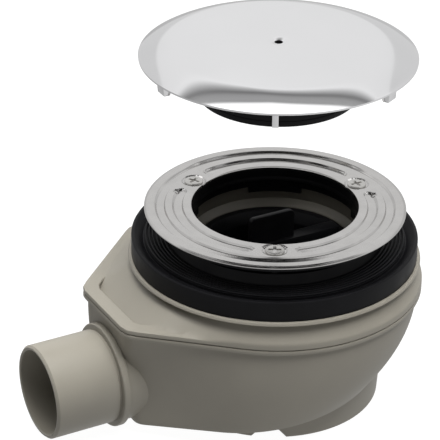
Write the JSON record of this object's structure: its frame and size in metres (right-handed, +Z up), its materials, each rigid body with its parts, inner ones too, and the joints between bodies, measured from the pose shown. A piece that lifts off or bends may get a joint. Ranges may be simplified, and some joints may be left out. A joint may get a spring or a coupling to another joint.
{
  "type": "shower trap",
  "caption": "Low shower trap with a clamp ring and seal for the tray hole, a round water pot, a removable dip tube, a lift-off dome cover and a side outlet pipe.",
  "frame": {"origin": "on the inlet axis, in the plane of the clamp ring's outer rim, where the ring lies on the shower tray", "axes": "+Z up along the inlet axis, out of the tray; the outlet pipe points to -X"},
  "size_m": [0.1719, 0.1274, 0.1609],
  "materials": {
    "beige_plastic": "fine satin polypropylene",
    "black_rubber": "matt moulded rubber",
    "black_plastic": "smooth satin",
    "stainless": "satin pressed sheet",
    "screw_steel": "bright",
    "chrome": "bright plated plastic",
    "brass": "turned"
  },
  "bodies": {
    "root": {"cover_cap": "chrome", "cover_skirt": "black_plastic", "clamp_ring": "stainless", "clamp_screw_1": "screw_steel", "clamp_screw_2": "screw_steel", "clamp_screw_3": "screw_steel", "screw_insert_1": "brass", "screw_insert_2": "brass", "screw_insert_3": "brass", "clamp_sleeve": "black_plastic", "tray_seal": "black_rubber", "upper_body": "beige_plastic", "lower_body": "beige_plastic", "dip_cup": "black_plastic", "dip_cup_seal": "black_rubber"}
  },
  "joints": []
}
